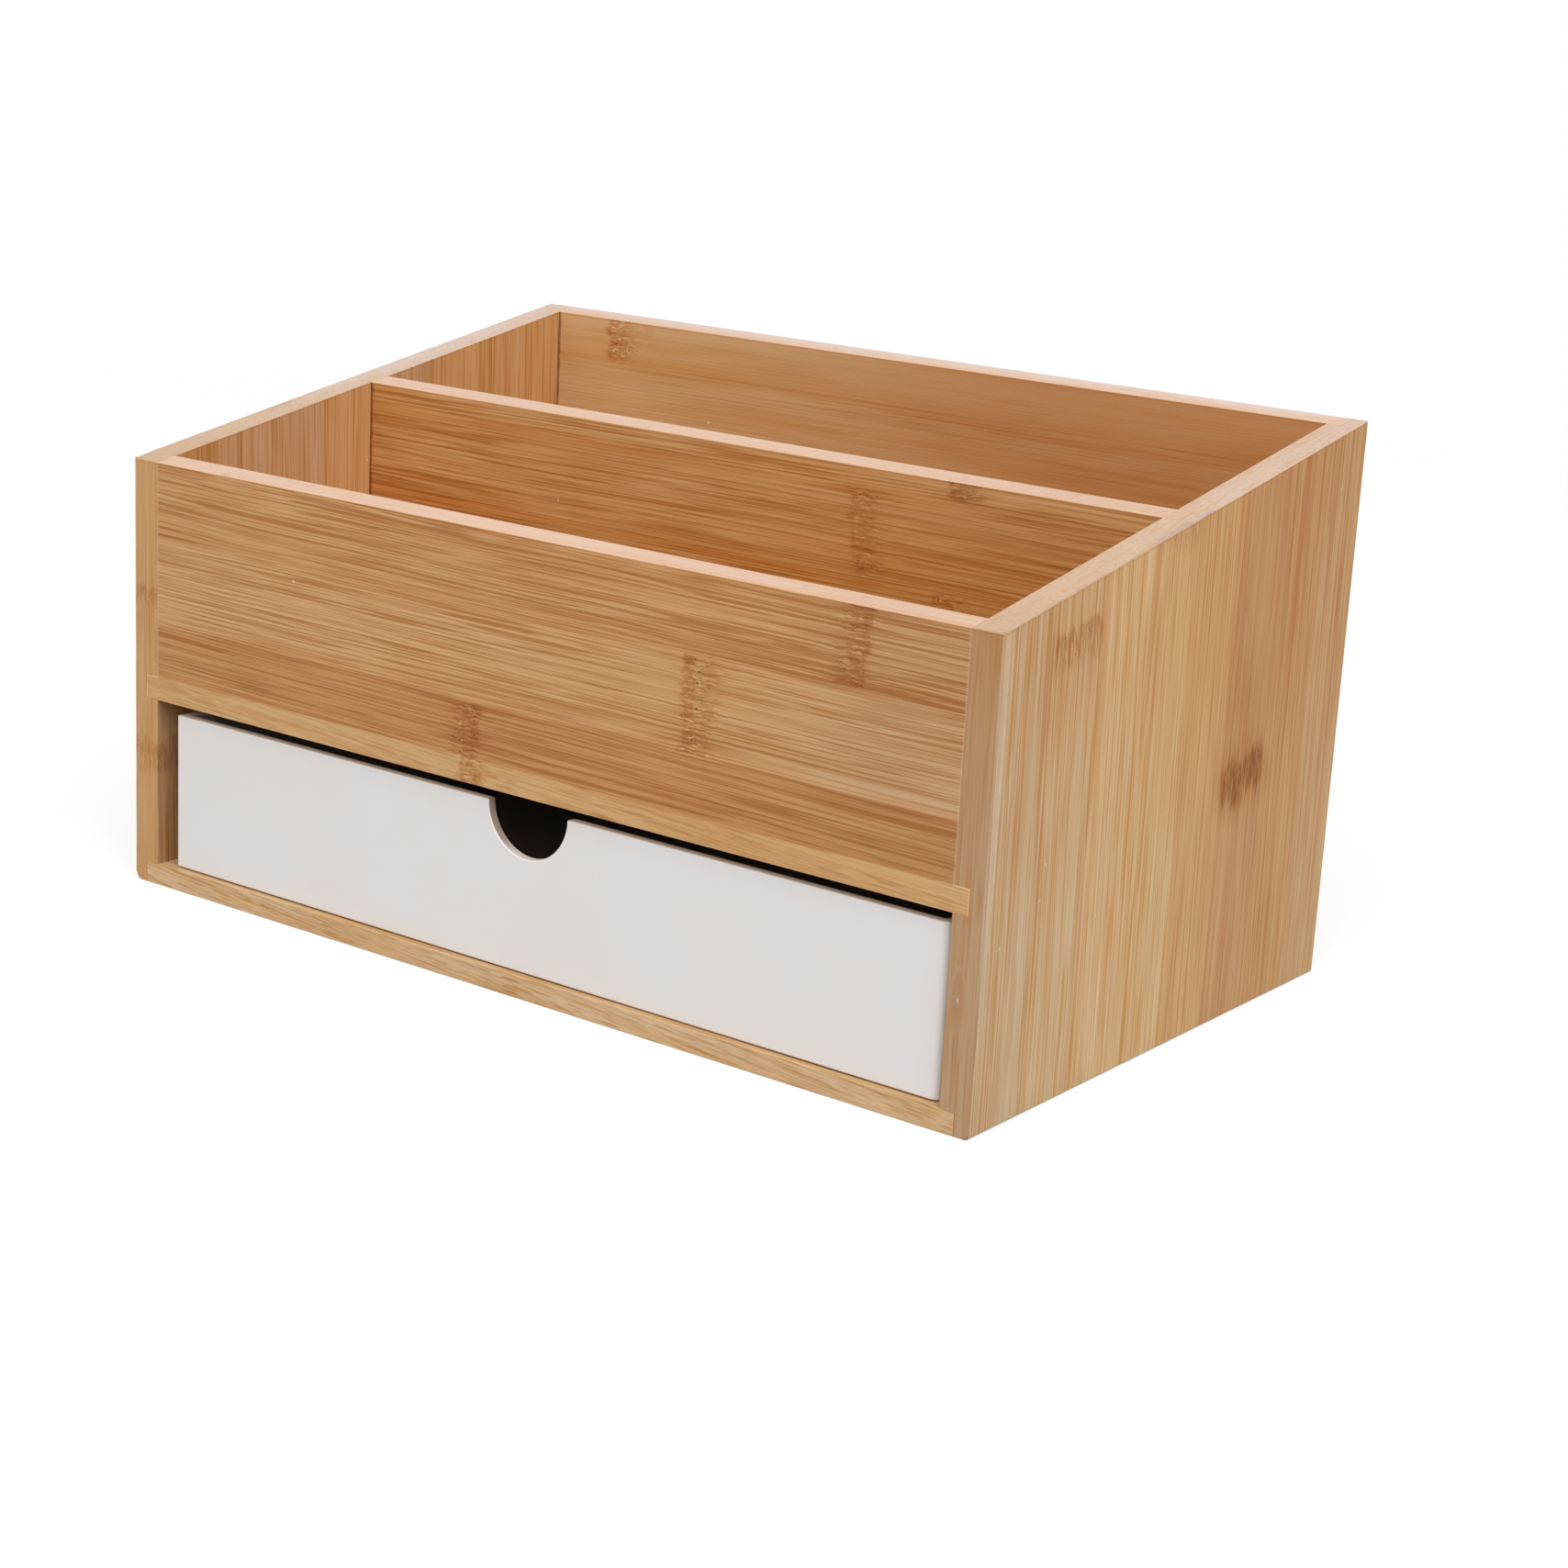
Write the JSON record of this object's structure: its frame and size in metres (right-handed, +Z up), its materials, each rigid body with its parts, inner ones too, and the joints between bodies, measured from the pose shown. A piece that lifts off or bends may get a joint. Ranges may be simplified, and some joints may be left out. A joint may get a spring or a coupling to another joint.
{
  "type": "desk organizer",
  "caption": "Wooden desk organizer with a sloped rim, open compartments on top and a thin white drawer with a finger notch below.",
  "frame": {"origin": "middle of the base, on the surface that the organizer stands on", "axes": "+Z up, +X to the right of someone who faces the drawer, -Y towards that person: the drawer opens along -Y"},
  "size_m": [0.256, 0.155, 0.138],
  "materials": {
    "bamboo": "satin clear varnish on laminated bamboo",
    "dowel_wood": "bare turned bamboo",
    "white_lacquered_board": "smooth satin white lacquer"
  },
  "bodies": {
    "carcass": {"left_side_panel": "bamboo", "right_side_panel": "bamboo", "front_panel": "bamboo", "front_panel_dowels": "dowel_wood", "divider_panel": "bamboo", "back_panel": "bamboo", "shelf_panel": "bamboo", "bottom_panel": "bamboo"},
    "drawer": {"drawer_front": "white_lacquered_board", "drawer_left_side": "white_lacquered_board", "drawer_right_side": "white_lacquered_board", "drawer_back": "white_lacquered_board", "drawer_bottom": "white_lacquered_board"}
  },
  "joints": [
    {"name": "drawer_slide", "type": "slide", "parent": "carcass", "child": "drawer", "axis": [0, -1, 0], "range_m": [0, 0.12]}
  ]
}
